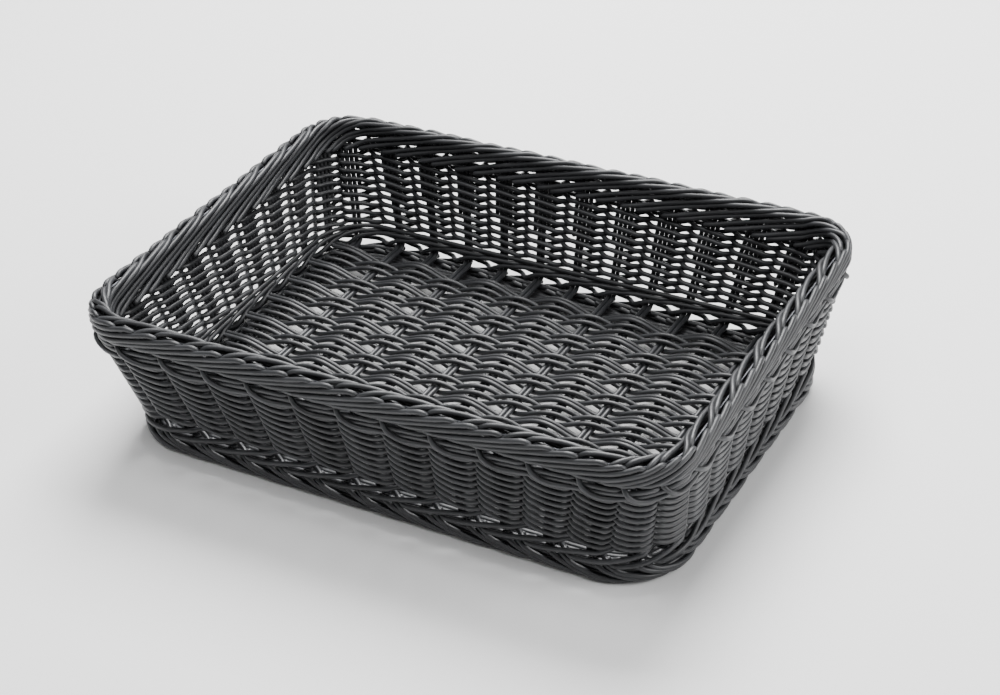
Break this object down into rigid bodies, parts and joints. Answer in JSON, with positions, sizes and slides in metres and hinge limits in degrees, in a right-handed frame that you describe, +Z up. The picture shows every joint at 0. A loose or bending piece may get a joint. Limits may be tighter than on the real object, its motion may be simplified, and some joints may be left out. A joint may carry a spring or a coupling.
{
  "type": "bread basket",
  "caption": "Rectangular woven bread basket of round plastic strands with leaning walls, a rolled rim and a plaited foot.",
  "frame": {"origin": "middle of the foot border's underside, on the surface the basket stands on", "axes": "+X along the long side, +Y along the short side, +Z up out of the open top"},
  "size_m": [0.4, 0.3, 0.1],
  "materials": {
    "stakes": "satin",
    "wall_weave": "satin",
    "base_weave": "satin",
    "borders": "satin",
    "rim_wire": "drawn wire"
  },
  "bodies": {
    "root": {"cross_stake_1": "stakes", "cross_stake_2": "stakes", "cross_stake_3": "stakes", "cross_stake_4": "stakes", "cross_stake_5": "stakes", "cross_stake_6": "stakes", "cross_stake_7": "stakes", "cross_stake_8": "stakes", "cross_stake_9": "stakes", "cross_stake_10": "stakes", "cross_stake_11": "stakes", "cross_stake_12": "stakes", "cross_stake_13": "stakes", "long_stake_1": "stakes", "long_stake_2": "stakes", "long_stake_3": "stakes", "long_stake_4": "stakes", "long_stake_5": "stakes", "long_stake_6": "stakes", "long_stake_7": "stakes", "long_stake_8": "stakes", "long_stake_9": "stakes", "base_weaver_1": "base_weave", "base_weaver_2": "base_weave", "base_weaver_3": "base_weave", "base_weaver_4": "base_weave", "base_weaver_5": "base_weave", "base_weaver_6": "base_weave", "base_weaver_7": "base_weave", "base_weaver_8": "base_weave", "base_weaver_9": "base_weave", "base_weaver_10": "base_weave", "base_weaver_11": "base_weave", "base_weaver_12": "base_weave", "base_weaver_13": "base_weave", "base_weaver_14": "base_weave", "base_weaver_15": "base_weave", "base_weaver_16": "base_weave", "lower_wale_1": "wall_weave", "lower_wale_2": "wall_weave", "upper_wale_1": "wall_weave", "upper_wale_2": "wall_weave", "row_1": "wall_weave", "row_2": "wall_weave", "row_3": "wall_weave", "row_4": "wall_weave", "row_5": "wall_weave", "row_6": "wall_weave", "row_7": "wall_weave", "row_8": "wall_weave", "row_9": "wall_weave", "rim_border": "borders", "foot_border": "borders", "rim_wire": "rim_wire"}
  },
  "joints": []
}
